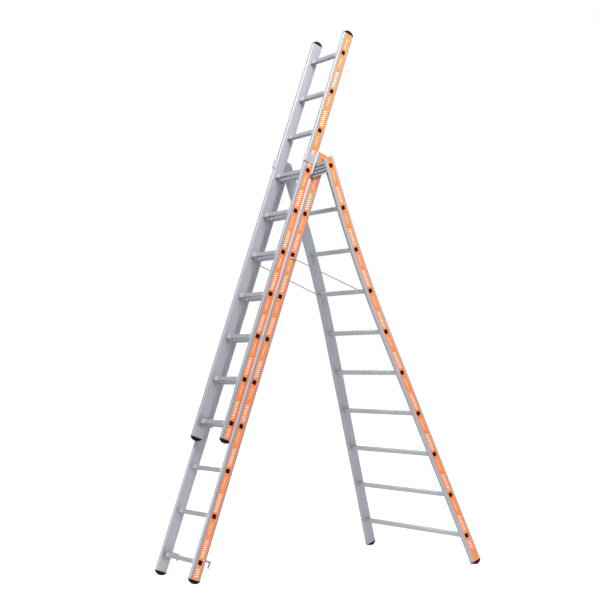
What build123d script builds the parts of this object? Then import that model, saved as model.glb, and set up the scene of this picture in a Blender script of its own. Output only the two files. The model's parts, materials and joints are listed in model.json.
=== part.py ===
from build123d import *
import math
import os

# A three-section combination ladder standing as an A-frame, in millimetres.
# X runs along the rungs with the right stile at +X, Y runs from the front section to the rear one,
# and Z is up from the floor, with the origin below the middle of the whole ladder.

# Rungs
rung_pitch = 280.0
rungs_per_section = 10
rung_side = 27.0
rung_corner = 4.0
rung_wall = 1.8
rung_hole_gap = 0.05
tread_groove_width = 1.4
tread_groove_depth = 0.6
tread_groove_step = 5.0
collar_side = 31.0
collar_length = 22.0

# Stiles: a closed box section with a sunk band for the label on its outer web
stile_width = 26.0
stile_depth = 74.0
stile_corner = 5.0
inner_web = 2.0
outer_web = 3.0
flange_wall = 2.6
cavity_corner = 2.5
label_band = 42.0
label_sink = 1.0
label_thick = 0.4
label_side_gap = 0.5
flange_groove_width = 1.8
flange_groove_depth = 0.8
flange_groove_step = 4.6

# Half widths over the outer faces of the stiles, and how far each section lies behind the next
extension_half = 185.0
front_half = 215.0
rear_half_at_top = 245.0
section_step = 55.0

# Lean of the two legs from upright, and the hinge axis they share
front_lean = 19.6
rear_lean = 20.2
hinge_behind_front = 8.0
hinge_before_rear = section_step - hinge_behind_front
hinge_above_front_rung = 72.0
hinge_above_rear_rung = 29.0

# Stile ends beyond the last rungs, and how many rungs the top section is raised
stile_below_first_rung = 104.0
stile_above_last_rung = 136.0
rear_stile_above_last_rung = 55.0
raised_rungs = 3

# Rear stiles: parallel above, flared below one long bend
flare_angle = 9.0
bend_radius = 5400.0
bend_above_first_rung = 1840.0

# End caps, domed from front to back
cap_overhang = 1.0
cap_crown = 23.0
cap_edge_round = 4.0
cap_spigot_length = 25.0
cap_spigot_gap = 0.3
front_foot_flat = 0.5
rear_foot_flat = 2.5

# Rung plugs
plug_side = 28.0
plug_corner = 2.5
plug_head = 0.9
plug_seat_gap = 0.03
plug_spigot_gap = 0.1
plug_spigot_length = 14.0
plug_label_gap = 0.5

# Hooks on the lowest rungs of the two sliding sections
hook_thick = 3.0
hook_arm_height = 13.5
hook_seat_gap = 0.1
hook_throat_rear = 73.0
hook_reach = 88.0
hook_tip_drop = 18.0
hook_plate_front = -32.0
hook_plate_rear = 32.0
hook_plate_below = -28.0
hook_plate_above = 40.0
hook_hole_side = 32.0
hook_rivet_radius = 3.0
hook_rivet_head_radius = 5.0
hook_rivet_head = 1.5

# Guide brackets at the top of the front section
guide_gap = 0.6
guide_lip = 3.6
guide_height = 60.0
guide_middle_above_hinge = 8.0
guide_lip_reach = 27.0
guide_rib_radius = 4.6
guide_overlap = 23.0
guide_rivet_radius = 3.0
guide_rivet_spread = 16.0

# Hinge
pin_radius = 6.0
pin_bore_gap = 0.05
pin_end = 232.0
washer_radius = 15.0
washer_thick = 3.6
block_inner_x = 219.0
block_outer_x = 243.0
block_top = 14.0
block_bottom = -66.0
block_edge_behind_flange = 2.0
slot_floor_x = 229.0
slot_height = 6.0
slot_tops = (-8.0, -27.5, -47.0)
block_back_wall = 6.0
bolt_radius = 3.0
bolt_head_radius = 2.9
bolt_head_length = 6.0
bolt_length = 16.0
claw_thick = 3.6
claw_gap = 0.4
claw_height = 26.0
claw_root = 6.0
claw_reach = 15.0

# Stays
stay_radius = 3.2
stay_front_rung = 7
stay_rear_rung = 6
stay_below_front_rung = 20.5
stay_front_x = 220.0
stay_eye_radius = 5.5
stay_eye_length = 10.5
clamp_wall = 2.2
clamp_width = 8.0
clamp_from_stile = 11.0
clamp_ear = 7.0
clamp_ear_root = 1.0
stay_clamp_gap = 3.2

# Blocks and rods that only cut run past what they cut
cut_past = 1.0
cutter_side = 160.0
floor_cutter_side = 9000.0
floor_cutter_depth = 2500.0

# Values that follow from the sizes above
section_span = (rungs_per_section - 1) * rung_pitch
front_first_rung = -hinge_above_front_rung - section_span
rear_first_rung = -hinge_above_rear_rung - section_span
front_plane = -hinge_behind_front
extension_plane = front_plane - section_step
rear_plane = hinge_before_rear
extension_first_rung = front_first_rung + raised_rungs * rung_pitch
open_angle = math.radians(front_lean + rear_lean)
flare = math.radians(flare_angle)
cap_half_depth = stile_depth / 2 + cap_overhang
crown_radius = (cap_half_depth**2 + cap_crown**2) / (2 * cap_crown)
crown_centre = crown_radius - cap_crown
cavity_width = stile_width - inner_web - outer_web
cavity_depth = stile_depth - 2 * flange_wall
cavity_middle = -outer_web - cavity_width / 2
rung_bore = rung_side - 2 * rung_wall

front_end = front_first_rung - stile_below_first_rung
lean_f = math.radians(front_lean)
lean_r = math.radians(rear_lean)
front_crown_drop = hinge_behind_front * math.sin(lean_f) + (front_end + crown_centre) * math.cos(lean_f)
hinge_height = crown_radius - front_foot_flat - front_crown_drop

# The rear stiles are cut where their tilted domes reach the same floor
tilted_drop = crown_radius * math.sqrt(1 - (math.sin(flare) * math.cos(lean_r)) ** 2)
rear_crown_height = tilted_drop - rear_foot_flat
rear_crown_level = (rear_crown_height - hinge_height - rear_plane * math.sin(lean_r)) / math.cos(lean_r)
rear_end = rear_crown_level - crown_centre * math.cos(flare)

bend_vertex = rear_first_rung + bend_above_first_rung
bend_tangent = bend_radius * math.tan(flare / 2)
bend_start = bend_vertex + bend_tangent
bend_end = bend_vertex - bend_tangent * math.cos(flare)

# Both legs turn about the hinge axis, which stands over y = 0 until the ladder is complete
front_frame = Pos(0, 0, hinge_height) * Rot(-front_lean, 0, 0)
rear_frame = Pos(0, 0, hinge_height) * Rot(rear_lean, 0, 0)


def rear_outer(level):
    """Half width over the rear stiles at a level below the hinge."""
    if level >= bend_start:
        return rear_half_at_top
    if level > bend_end:
        drop = bend_start - level
        return rear_half_at_top + bend_radius - math.sqrt(bend_radius**2 - drop**2)
    return rear_half_at_top + (bend_vertex - level) * math.tan(flare)


def rear_tilt(level):
    """Outward tilt of the rear stiles at a level, in radians."""
    if level >= bend_start:
        return 0.0
    if level > bend_end:
        return math.asin((bend_start - level) / bend_radius)
    return flare


def both_sides(shape):
    """A right-hand shape and its mirror image on the left."""
    return [shape, mirror(shape, about=Plane.YZ)]


def all_solids(shapes):
    """One group of separate solids."""
    found = []
    for shape in shapes:
        found.extend(shape.solids())
    return Compound(found)


def save(name, shape):
    """Keeps one named piece until the whole ladder is made."""
    pieces[name] = shape


def facing_x(across, plane, level):
    """A drawing plane that looks along X, with its own x axis towards the rear."""
    return Plane(origin=(across, plane, level), x_dir=(0, 1, 0), z_dir=(1, 0, 0))


def stile_profile():
    """Cross-section of a right-hand stile, with its outer web at x = 0."""
    outline = Pos(-stile_width / 2, 0) * RectangleRounded(stile_width, stile_depth, stile_corner)
    cavity = Pos(cavity_middle, 0) * RectangleRounded(cavity_width, cavity_depth, cavity_corner)
    band = Rectangle(2 * label_sink, label_band)
    section = outline - cavity - band
    for number in (-1, 0, 1):
        across = -stile_width / 2 + number * flange_groove_step
        for side in (-1, 1):
            groove = Rectangle(flange_groove_width, 2 * flange_groove_depth)
            section -= Pos(across, side * stile_depth / 2) * groove
    return section


def label_profile():
    """Cross-section of the label, lying on the floor of its band."""
    middle = -label_sink + label_thick / 2
    return Pos(middle, 0) * Rectangle(label_thick, label_band - 2 * label_side_gap)


def straight_run(profile, half, plane, low, high):
    """A right-hand extrusion of the front or top section."""
    return Pos(half, plane, low) * extrude(profile, amount=high - low)


def bent_run(profile, top):
    """A right-hand extrusion that follows the bend of the rear section, from its foot up."""
    foot = (rear_outer(rear_end), rear_plane, rear_end)
    bend_low = (rear_outer(bend_end), rear_plane, bend_end)
    bend_high = (rear_half_at_top, rear_plane, bend_start)
    head = (rear_half_at_top, rear_plane, top)
    along_flare = (-math.sin(flare), 0, math.cos(flare))
    leg = Line(foot, bend_low)
    bend = TangentArc(bend_low, bend_high, tangent=along_flare)
    neck = Line(bend_high, head)
    route = Wire([leg, bend, neck])
    start = Plane(origin=foot, x_dir=(math.cos(flare), 0, math.sin(flare)), z_dir=along_flare)
    return sweep(start * profile, path=route)


def rung_holes(plane, first, outer_at):
    """Square holes for ten rungs through a right-hand stile."""
    side = rung_side + 2 * rung_hole_gap
    hole_section = RectangleRounded(side, side, rung_corner)
    holes = []
    for number in range(rungs_per_section):
        level = first + number * rung_pitch
        across = facing_x(outer_at(level) - 3 * stile_width, plane, level)
        holes.append(extrude(across * hole_section, amount=4 * stile_width))
    return holes


def web_frame(plane, level, outer_at, tilt_at, depth):
    """A place on a right-hand outer web, sunk by a depth, with its x axis pointing out of the web."""
    tilt = tilt_at(level)
    across = outer_at(level) - depth / math.cos(tilt)
    return Pos(across, plane, level) * Rot(0, -math.degrees(tilt), 0)


def beyond(frame):
    """A block that covers everything past the yz plane of a frame."""
    return frame * Pos(cutter_side / 2, 0, 0) * Box(cutter_side, cutter_side, cutter_side)


def rung_profile():
    """Cross-section of a rung tube, with grooves on its upper and lower faces."""
    section = RectangleRounded(rung_side, rung_side, rung_corner)
    section -= RectangleRounded(rung_bore, rung_bore, rung_corner - rung_wall)
    for number in (-1, 0, 1):
        for side in (-1, 1):
            groove = Rectangle(tread_groove_width, 2 * tread_groove_depth)
            section -= Pos(number * tread_groove_step, side * rung_side / 2) * groove
    return section


def rung(plane, level, outer_at, tilt_at):
    """One rung with its pressed collars, ending on the floors of the two label bands."""
    outer = outer_at(level)
    tilt = tilt_at(level)
    inner = outer - stile_width / math.cos(tilt)
    middle = facing_x(0, plane, level)
    tube = extrude(middle * rung_profile(), amount=outer + stile_width)
    tube -= beyond(web_frame(plane, level, outer_at, tilt_at, label_sink))
    slant = collar_side * math.tan(tilt)
    taper_start = facing_x(inner - collar_length, plane, level)
    narrow = taper_start * RectangleRounded(rung_side, rung_side, rung_corner)
    wide = taper_start.offset(collar_length + slant) * RectangleRounded(collar_side, collar_side, rung_corner)
    collar = loft([narrow, wide])
    collar -= beyond(web_frame(plane, level, outer_at, tilt_at, stile_width))
    bore_outline = RectangleRounded(rung_bore, rung_bore, rung_corner - rung_wall)
    bore = extrude(taper_start * bore_outline, amount=3 * stile_width)
    half = tube + (collar - bore)
    return half + mirror(half, about=Plane.YZ)


def rung_plug(plane, level, outer_at, tilt_at):
    """One right-hand plug: a square head in the label band and a spigot in the rung."""
    seat = web_frame(plane, level, outer_at, tilt_at, label_sink - plug_seat_gap)
    face = facing_x(0, 0, 0)
    head = seat * extrude(face * RectangleRounded(plug_side, plug_side, plug_corner), amount=plug_head)
    side = rung_bore - 2 * plug_spigot_gap
    outline = RectangleRounded(side, side, rung_corner - rung_wall)
    inner_end = facing_x(outer_at(level) - plug_spigot_length, plane, level)
    spigot = extrude(inner_end * outline, amount=2 * plug_spigot_length)
    spigot -= beyond(seat)
    return head + spigot


def label_windows(plane, first, outer_at, tilt_at):
    """Openings in a label round the plugs."""
    side = plug_side + 2 * plug_label_gap
    windows = []
    for number in range(rungs_per_section):
        level = first + number * rung_pitch
        place = web_frame(plane, level, outer_at, tilt_at, 0)
        windows.append(place * Box(6 * label_sink, side, side))
    return windows


def end_cap():
    """A domed cap over the foot of a right-hand stile whose outer web stands at x = 0."""
    face = facing_x(-stile_width - cap_overhang, 0, 0)
    crown = ThreePointArc((-cap_half_depth, 0), (0, -cap_crown), (cap_half_depth, 0))
    chord = Line((cap_half_depth, 0), (-cap_half_depth, 0))
    dome = extrude(face * make_face([crown, chord]), amount=stile_width + 2 * cap_overhang)
    round_edges = dome.edges().filter_by(GeomType.CIRCLE)
    dome = fillet(round_edges, cap_edge_round)
    width = cavity_width - 2 * cap_spigot_gap
    depth = cavity_depth - 2 * cap_spigot_gap
    spigot_face = Pos(cavity_middle, 0) * RectangleRounded(width, depth, cavity_corner - cap_spigot_gap)
    return dome + extrude(spigot_face, amount=cap_spigot_length)


def hook(half, plane, level):
    """A right-hand hook plate on the inner web of a stile, with an arm that turns down behind."""
    seat = rung_side / 2 + hook_seat_gap
    arm_top = seat + hook_arm_height
    outline = Polyline(
        (hook_plate_front, hook_plate_below),
        (hook_plate_rear, hook_plate_below),
        (hook_plate_rear, seat),
        (hook_throat_rear, seat),
        (hook_throat_rear, -hook_tip_drop),
        (hook_reach - hook_arm_height / 3, -hook_tip_drop),
        (hook_reach, arm_top - hook_arm_height / 3),
        (hook_reach - hook_arm_height / 3, arm_top),
        (hook_plate_rear, arm_top),
        (hook_plate_rear - hook_arm_height, hook_plate_above),
        (hook_plate_front, hook_plate_above),
        close=True,
    )
    inner = half - stile_width
    face = facing_x(inner - hook_thick, plane, level)
    plate = extrude(face * make_face(outline), amount=hook_thick)
    window = extrude(face * RectangleRounded(hook_hole_side, hook_hole_side, rung_corner), amount=hook_thick)
    return plate - window


def hook_rivet_places():
    """Where the rivets of a hook plate stand, above and below its rung, from front and level."""
    above = (hook_hole_side / 2 + hook_plate_above) / 2
    below = (-hook_hole_side / 2 + hook_plate_below) / 2
    return [(0.0, above), (0.0, below)]


def cross_rod(radius, from_x, to_x, plane, level):
    """A rod along X."""
    start = facing_x(from_x, plane, level)
    return extrude(start * Circle(radius), amount=to_x - from_x)


def hook_rivets(half, plane, level):
    """Two right-hand rivets, flush with the hook plate on the sliding side and upset in the stile."""
    inner = half - stile_width
    rivets = []
    for front, rise in hook_rivet_places():
        start = inner - hook_thick
        web = inner + inner_web
        shank = cross_rod(hook_rivet_radius, start, web, plane + front, level + rise)
        tail = cross_rod(hook_rivet_head_radius, web, web + hook_rivet_head, plane + front, level + rise)
        rivets.append(shank + tail)
    return rivets


def rivet_holes(half, plane, level):
    """Holes for the hook rivets through the plate and the inner web."""
    inner = half - stile_width
    holes = []
    for front, rise in hook_rivet_places():
        start = inner - hook_thick
        holes.append(cross_rod(hook_rivet_radius, start, inner + inner_web, plane + front, level + rise))
    return holes


def guide_bracket():
    """A right-hand guide: a plate along the sliding stile and a ribbed lip across its front flange."""
    inner = front_half - stile_width
    slide_front = extension_plane - stile_depth / 2
    lip_rear = slide_front - guide_gap
    lip_front = lip_rear - guide_lip
    plate_inner = extension_half + guide_gap
    rear = front_plane - stile_depth / 2 + guide_overlap
    low = guide_middle_above_hinge - guide_height / 2
    plate = Pos((plate_inner + inner) / 2, (lip_front + rear) / 2, low + guide_height / 2)
    bracket = plate * Box(inner - plate_inner, rear - lip_front, guide_height)
    lip_middle = inner - guide_lip_reach / 2
    lip = Pos(lip_middle, (lip_front + lip_rear) / 2, low + guide_height / 2)
    bracket += lip * Box(guide_lip_reach, guide_lip, guide_height)
    for across in (inner - guide_rib_radius, inner - guide_lip_reach + guide_rib_radius):
        rib = Pos(across, lip_rear - guide_rib_radius, low + guide_height / 2)
        bracket += rib * Cylinder(guide_rib_radius, guide_height)
    return bracket


def guide_rivet(rise):
    """One right-hand rivet, flush with the guide plate and upset inside the front stile."""
    inner = front_half - stile_width
    across = front_plane - stile_depth / 2 + guide_overlap / 2
    level = guide_middle_above_hinge + rise
    shank = cross_rod(guide_rivet_radius, extension_half + guide_gap, inner + inner_web, across, level)
    tail_end = inner + inner_web + hook_rivet_head
    tail = cross_rod(hook_rivet_head_radius, inner + inner_web, tail_end, across, level)
    return shank + tail


def guide_rivet_hole(rise):
    """The hole for a guide rivet."""
    inner = front_half - stile_width
    across = front_plane - stile_depth / 2 + guide_overlap / 2
    level = guide_middle_above_hinge + rise
    return cross_rod(guide_rivet_radius, extension_half + guide_gap, inner + inner_web, across, level)


def along_front(distance, down):
    """A point of the open front section, seen in the rear section's own plane.

    distance is measured forward from the hinge and down along the front stile."""
    across = -distance * math.cos(open_angle) - down * math.sin(open_angle)
    level = distance * math.sin(open_angle) - down * math.cos(open_angle)
    return (across, level)


def down_to(distance, level):
    """How far down the front stile a line at a distance before the hinge meets a rear level."""
    return (distance * math.sin(open_angle) - level) / math.cos(open_angle)


def hinge_block():
    """A right-hand finned block on the rear section, cut along the open front stile, with a stop claw."""
    flange = front_plane - stile_depth / 2
    reach = -flange - block_edge_behind_flange
    back = rear_plane - stile_depth / 2
    top_corner = along_front(reach, down_to(reach, block_top))
    foot_corner = along_front(reach, down_to(reach, block_bottom))
    face = facing_x(block_inner_x, 0, 0)
    outline = Polyline((back, block_top), top_corner, foot_corner, (back, block_bottom), close=True)
    block = extrude(face * make_face(outline), amount=block_outer_x - block_inner_x)
    for top in slot_tops:
        slot = Box(block_outer_x - slot_floor_x, cutter_side, slot_height)
        middle = back - block_back_wall - cutter_side / 2
        block -= Pos((block_outer_x + slot_floor_x) / 2, middle, top - slot_height / 2) * slot
    near = -flange + claw_gap
    far = near + claw_thick
    low = down_to(reach, block_bottom)
    high = low - claw_height
    root = Polyline(
        along_front(reach - claw_root, high),
        along_front(far, high),
        along_front(far, low),
        along_front(reach - claw_root, low),
        close=True,
    )
    block += extrude(face * make_face(root), amount=slot_floor_x - block_inner_x)
    tip = Polyline(
        along_front(near, high),
        along_front(far, high),
        along_front(far, low),
        along_front(near, low),
        close=True,
    )
    tip_face = facing_x(block_inner_x - claw_reach, 0, 0)
    block += extrude(tip_face * make_face(tip), amount=claw_reach + cut_past)
    block -= cross_rod(pin_radius + pin_bore_gap, block_inner_x - cut_past, pin_end + cut_past, 0, 0)
    for bolt in bolt_places():
        block -= flange_rod(bolt_radius, back - block_back_wall, back, bolt)
    return block


def bolt_places():
    """X and level of the three bolts, one in each slot."""
    across = (block_outer_x + slot_floor_x) / 2
    return [(across, top - slot_height / 2) for top in slot_tops]


def flange_rod(radius, from_y, to_y, place):
    """A rod along Y."""
    start = Plane(origin=(place[0], from_y, place[1]), x_dir=(1, 0, 0), z_dir=(0, 1, 0))
    return extrude(start * Circle(radius), amount=to_y - from_y)


def hinge_bolt(place):
    """One right-hand bolt through the back wall of the block into the rear stile's front flange."""
    back = rear_plane - stile_depth / 2
    head_end = back - block_back_wall
    head = flange_rod(bolt_head_radius, head_end - bolt_head_length, head_end, place)
    shank = flange_rod(bolt_radius - pin_bore_gap, head_end, head_end + bolt_length, place)
    return head + shank


def stay_clamp():
    """A right-hand band round a rear rung, with an ear for the stay."""
    level = rear_first_rung + stay_rear_rung * rung_pitch
    across = clamp_x()
    side = collar_side + 2 * clamp_wall
    start = facing_x(across - clamp_width / 2, rear_plane, level)
    hole = RectangleRounded(rung_side, rung_side, rung_corner)
    band = RectangleRounded(side, side, rung_corner + clamp_wall) - hole
    clamp = extrude(start * band, amount=clamp_width) - rung(rear_plane, level, rear_outer, rear_tilt)
    ear = Box(clamp_width, clamp_ear, clamp_ear)
    ear_level = level - rung_side / 4
    return clamp + Pos(across, rear_plane - side / 2 - clamp_ear / 2 + clamp_ear_root, ear_level) * ear


def clamp_x():
    """Where the clamp sits along the rear rung, on its collar."""
    level = rear_first_rung + stay_rear_rung * rung_pitch
    return rear_outer(level) - stile_width - clamp_from_stile


def stay_front_point():
    """Where a right-hand stay leaves its eye, in the ladder's own frame."""
    level = front_first_rung + stay_front_rung * rung_pitch - stay_below_front_rung
    return (front_frame * Pos(stay_front_x, front_plane, level)).position


def stay_rear_point():
    """Where a right-hand stay meets the ear of its clamp, in the ladder's own frame."""
    level = rear_first_rung + stay_rear_rung * rung_pitch - rung_side / 4
    front = rear_plane - collar_side / 2 - clamp_wall - clamp_ear + clamp_ear_root
    return (rear_frame * Pos(clamp_x(), front, level)).position


def stay():
    """A right-hand stay cable, pulled straight between the two legs."""
    start = stay_front_point()
    end = stay_rear_point()
    way = (end - start).normalized()
    length = (end - start).length - stay_clamp_gap
    return extrude(Plane(origin=start, z_dir=way) * Circle(stay_radius), amount=length)


def stay_eye():
    """A right-hand eye on the outer web of the front stile, drilled for the stay."""
    level = front_first_rung + stay_front_rung * rung_pitch - stay_below_front_rung
    floor = front_half - label_sink + label_thick
    eye = cross_rod(stay_eye_radius, floor, floor + stay_eye_length, front_plane, level)
    bore = Plane(origin=stay_front_point(), z_dir=(stay_rear_point() - stay_front_point()).normalized())
    return front_frame * eye - extrude(bore * Circle(stay_radius), amount=4 * stay_eye_radius)


pieces = {}

# Front section, which stands and carries the hinge, and top section, which slides in front of it
straight_sections = {
    "front": (front_half, front_plane, front_first_rung),
    "extension": (extension_half, extension_plane, extension_first_rung),
}
floor_block = Box(floor_cutter_side, floor_cutter_side, floor_cutter_depth)
floor_block = Pos(0, 0, -floor_cutter_depth / 2) * floor_block

for section, (half, plane, first) in straight_sections.items():
    low = first - stile_below_first_rung
    high = first + section_span + stile_above_last_rung

    def outer_at(level, half=half):
        return half

    def tilt_at(level):
        return 0.0

    stile = straight_run(stile_profile(), half, plane, low, high)
    stile -= rung_holes(plane, first, outer_at)
    stile -= rivet_holes(half, plane, first)
    if section == "front":
        stile -= cross_rod(pin_radius, front_half - 2 * stile_width, front_half + stile_width, 0, 0)
        stile -= [guide_rivet_hole(rise) for rise in (-guide_rivet_spread, guide_rivet_spread)]
    for side, piece in zip(("right", "left"), both_sides(stile)):
        save(f"{section}_{side}_stile", front_frame * piece)

    plugs = []
    for number in range(rungs_per_section):
        level = first + number * rung_pitch
        save(f"{section}_rung_{number + 1:02d}", front_frame * rung(plane, level, outer_at, tilt_at))
        plugs += both_sides(rung_plug(plane, level, outer_at, tilt_at))
    save(f"{section}_rung_plugs", front_frame * all_solids(plugs))

    label = straight_run(label_profile(), half, plane, low, high)
    label -= label_windows(plane, first, outer_at, tilt_at)
    if section == "front":
        pin_clear = washer_radius + plug_label_gap
        label -= cross_rod(pin_clear, front_half - stile_width, front_half + stile_width, 0, 0)
    save(f"{section}_labels", front_frame * all_solids(both_sides(label)))

    hooks = hook(half, plane, first)
    hooks -= rivet_holes(half, plane, first)
    save(f"{section}_hooks", front_frame * all_solids(both_sides(hooks)))
    rivets = []
    for rivet in hook_rivets(half, plane, first):
        rivets += both_sides(rivet)
    save(f"{section}_hook_rivets", front_frame * all_solids(rivets))

    foot = Pos(half, plane, low) * end_cap()
    if section == "front":
        feet = [(front_frame * piece) - floor_block for piece in both_sides(foot)]
        save("front_feet", all_solids(feet))
    else:
        head = Pos(half, plane, high) * mirror(end_cap(), about=Plane.XY)
        save("extension_end_caps", front_frame * all_solids(both_sides(foot) + both_sides(head)))

# Rear section, flared towards its feet
rear_top = rear_first_rung + section_span + rear_stile_above_last_rung
rear_stile = bent_run(stile_profile(), rear_top)
rear_stile -= rung_holes(rear_plane, rear_first_rung, rear_outer)
rear_stile -= [flange_rod(bolt_radius, 0, stile_width, place) for place in bolt_places()]
for side, piece in zip(("right", "left"), both_sides(rear_stile)):
    save(f"rear_{side}_stile", rear_frame * piece)

rear_plugs = []
for number in range(rungs_per_section):
    level = rear_first_rung + number * rung_pitch
    save(f"rear_rung_{number + 1:02d}", rear_frame * rung(rear_plane, level, rear_outer, rear_tilt))
    rear_plugs += both_sides(rung_plug(rear_plane, level, rear_outer, rear_tilt))
save("rear_rung_plugs", rear_frame * all_solids(rear_plugs))

rear_label = bent_run(label_profile(), rear_top)
rear_label -= label_windows(rear_plane, rear_first_rung, rear_outer, rear_tilt)
save("rear_labels", rear_frame * all_solids(both_sides(rear_label)))

rear_foot_place = Pos(rear_outer(rear_end), rear_plane, rear_end) * Rot(0, -flare_angle, 0)
rear_foot = rear_foot_place * end_cap()
save("rear_feet", all_solids([(rear_frame * piece) - floor_block for piece in both_sides(rear_foot)]))

# Guides, hinge and stays
guide = guide_bracket()
guide -= [guide_rivet_hole(rise) for rise in (-guide_rivet_spread, guide_rivet_spread)]
save("guide_brackets", front_frame * all_solids(both_sides(guide)))
guide_rivets = []
for rise in (-guide_rivet_spread, guide_rivet_spread):
    guide_rivets += both_sides(guide_rivet(rise))
save("guide_rivets", front_frame * all_solids(guide_rivets))

for side, piece in zip(("right", "left"), both_sides(hinge_block())):
    save(f"hinge_block_{side}", rear_frame * piece)
bolts = []
for place in bolt_places():
    bolts += both_sides(hinge_bolt(place))
save("hinge_bolts", rear_frame * all_solids(bolts))

pin = cross_rod(pin_radius, front_half - stile_width, pin_end, 0, 0)
save("hinge_pins", front_frame * all_solids(both_sides(pin)))
washer = cross_rod(washer_radius, front_half, front_half + washer_thick, 0, 0)
washer -= cross_rod(pin_radius, front_half, front_half + washer_thick, 0, 0)
save("hinge_washers", front_frame * all_solids(both_sides(washer)))

for side, piece in zip(("right", "left"), both_sides(stay())):
    save(f"stay_{side}", piece)
save("stay_eyes", all_solids(both_sides(stay_eye())))
save("stay_clamps", rear_frame * all_solids(both_sides(stay_clamp())))

# The whole ladder is moved so that the origin lies below its middle, and written out
boxes = [shape.bounding_box() for shape in pieces.values()]
front_limit = min(box.min.Y for box in boxes)
rear_limit = max(box.max.Y for box in boxes)
hinge_y = -(front_limit + rear_limit) / 2
os.makedirs("parts", exist_ok=True)
for name, shape in pieces.items():
    export_step(Pos(0, hinge_y, 0) * shape, os.path.join("parts", name + ".step"))

print("hinge at y", round(hinge_y, 4), "z", round(hinge_height, 4))
print("rear stile ends", round(rear_first_rung - rear_end, 2), "below its first rung")
print("half width over the rear feet", round(rear_outer(rear_end), 2))
print("stay length", round((stay_rear_point() - stay_front_point()).length - stay_clamp_gap, 2))
print("height", round(max(box.max.Z for box in boxes), 3))
print("depth", round(rear_limit - front_limit, 3), "width", round(2 * max(box.max.X for box in boxes), 3))
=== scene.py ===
import json
import math

import bmesh
import bpy
from bpy.props import FloatProperty, FloatVectorProperty, IntProperty, PointerProperty
from bpy.types import Operator, Panel, PropertyGroup
from mathutils import Matrix, Vector


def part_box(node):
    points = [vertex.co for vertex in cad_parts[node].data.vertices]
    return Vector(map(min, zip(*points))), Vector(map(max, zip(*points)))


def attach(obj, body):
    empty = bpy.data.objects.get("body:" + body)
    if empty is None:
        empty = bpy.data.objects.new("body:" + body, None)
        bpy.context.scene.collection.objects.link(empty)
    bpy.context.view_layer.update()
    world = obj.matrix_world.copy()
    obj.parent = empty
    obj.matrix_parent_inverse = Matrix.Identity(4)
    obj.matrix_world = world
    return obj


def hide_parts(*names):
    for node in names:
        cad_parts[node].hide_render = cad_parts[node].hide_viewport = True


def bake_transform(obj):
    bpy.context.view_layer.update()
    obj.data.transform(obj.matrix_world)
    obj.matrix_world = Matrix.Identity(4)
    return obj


bl_info = {
    "name": "Combination ladder",
    "version": (1, 0, 0),
    "blender": (4, 5, 0),
    "location": "View3D > Sidebar > Ladder",
    "description": "Dresses a three-section aluminium ladder and sets it in a pale studio",
    "category": "Object",
}

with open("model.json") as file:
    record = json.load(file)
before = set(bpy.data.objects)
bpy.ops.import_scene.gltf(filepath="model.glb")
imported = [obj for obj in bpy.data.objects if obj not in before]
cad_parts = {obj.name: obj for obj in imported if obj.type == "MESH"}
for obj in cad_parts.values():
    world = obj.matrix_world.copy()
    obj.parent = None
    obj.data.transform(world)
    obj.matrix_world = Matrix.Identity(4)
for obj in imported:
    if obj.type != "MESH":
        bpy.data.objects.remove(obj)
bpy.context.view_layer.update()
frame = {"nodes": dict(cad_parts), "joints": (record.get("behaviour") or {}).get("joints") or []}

MM = 0.001
SIDES = {"right": 1, "left": -1}
BODIES = {"front": "front_section", "extension": "extension_section", "rear": "rear_section"}
RUNG_NUMBERS = range(1, 11)

# Each leg has its own frame: the hinge is its origin, z runs up the stiles and y to the rear
joints = {joint["name"]: joint for joint in frame["joints"]}
hinge = Vector(joints["rear_fold"]["pos_m"])
slide_way = Vector(joints["extension_slide"]["axis"])
front_lean = math.atan2(slide_way.y, slide_way.z)
rear_lean = -math.radians(joints["rear_fold"]["range_deg"][0]) - front_lean
front_leg = Matrix.Translation(hinge) @ Matrix.Rotation(-front_lean, 4, "X")
rear_leg = Matrix.Translation(hinge) @ Matrix.Rotation(rear_lean, 4, "X")
LEGS = {"front": front_leg, "extension": front_leg, "rear": rear_leg}

# Stiles, and how the rear ones flare
STILE_WIDTH = 26 * MM
STILE_DEPTH = 74 * MM
STILE_BELOW_FIRST_RUNG = {"front": 104 * MM, "extension": 104 * MM, "rear": 173.98 * MM}
STILE_ABOVE_LAST_RUNG = 136 * MM
REAR_HALF_WIDTH = 245 * MM
FLARE = math.radians(9)
BEND_RADIUS = 5.4
BEND_ABOVE_FIRST_RUNG = 1.84

# Labels lie in a sunk band, with printed marks between the plugs
LABEL_SINK = 1.0 * MM
LABEL_THICK = 0.4 * MM
BARS = 8
BARS_ABOVE_RUNG = 36 * MM
LAST_BARS = 4
LAST_BARS_BELOW_RUNG = 82 * MM
TICKS = 8
TICKS_ABOVE_RUNG = 175 * MM

# Rounding of a cap's two sides: shares of the way in, and of the full draw
CAP_SOFT = 2.6 * MM
CAP_SIDE = ((0.0, 1.0), (0.25, 0.45), (0.6, 0.12), (1.0, 0.0))
CAP_DRAW_DEPTH = 0.035
CAP_DRAW_CROWN = 0.09

# Hinge blocks, with the floor of their slots and their outer face across the ladder; painted shade darkens
# the slots between these
CASTING_RECESS = 231 * MM
CASTING_FACE = 240 * MM

# A painted highlight brightens the rung collars in a band, set off from the stile
COLLAR_PAINTED_HIGHLIGHT_FROM_STILE = 34 * MM
COLLAR_PAINTED_HIGHLIGHT_REACH = 27 * MM
COLLAR_PAINTED_HIGHLIGHT = 1.65

# Painted shade makes the upper faces of the rear rungs darker than their sides
UPPER_FACE_PAINTED_SHADE = 0.82

# Painted shade makes the outer faces of the front and extension stiles, the margins beside the labels,
# darker than their other faces
OUTER_FACE_PAINTED_SHADE = 0.74

# A painted highlight makes the forward faces of the front stiles brighter
FORWARD_PAINTED_HIGHLIGHT = 1.35

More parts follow.
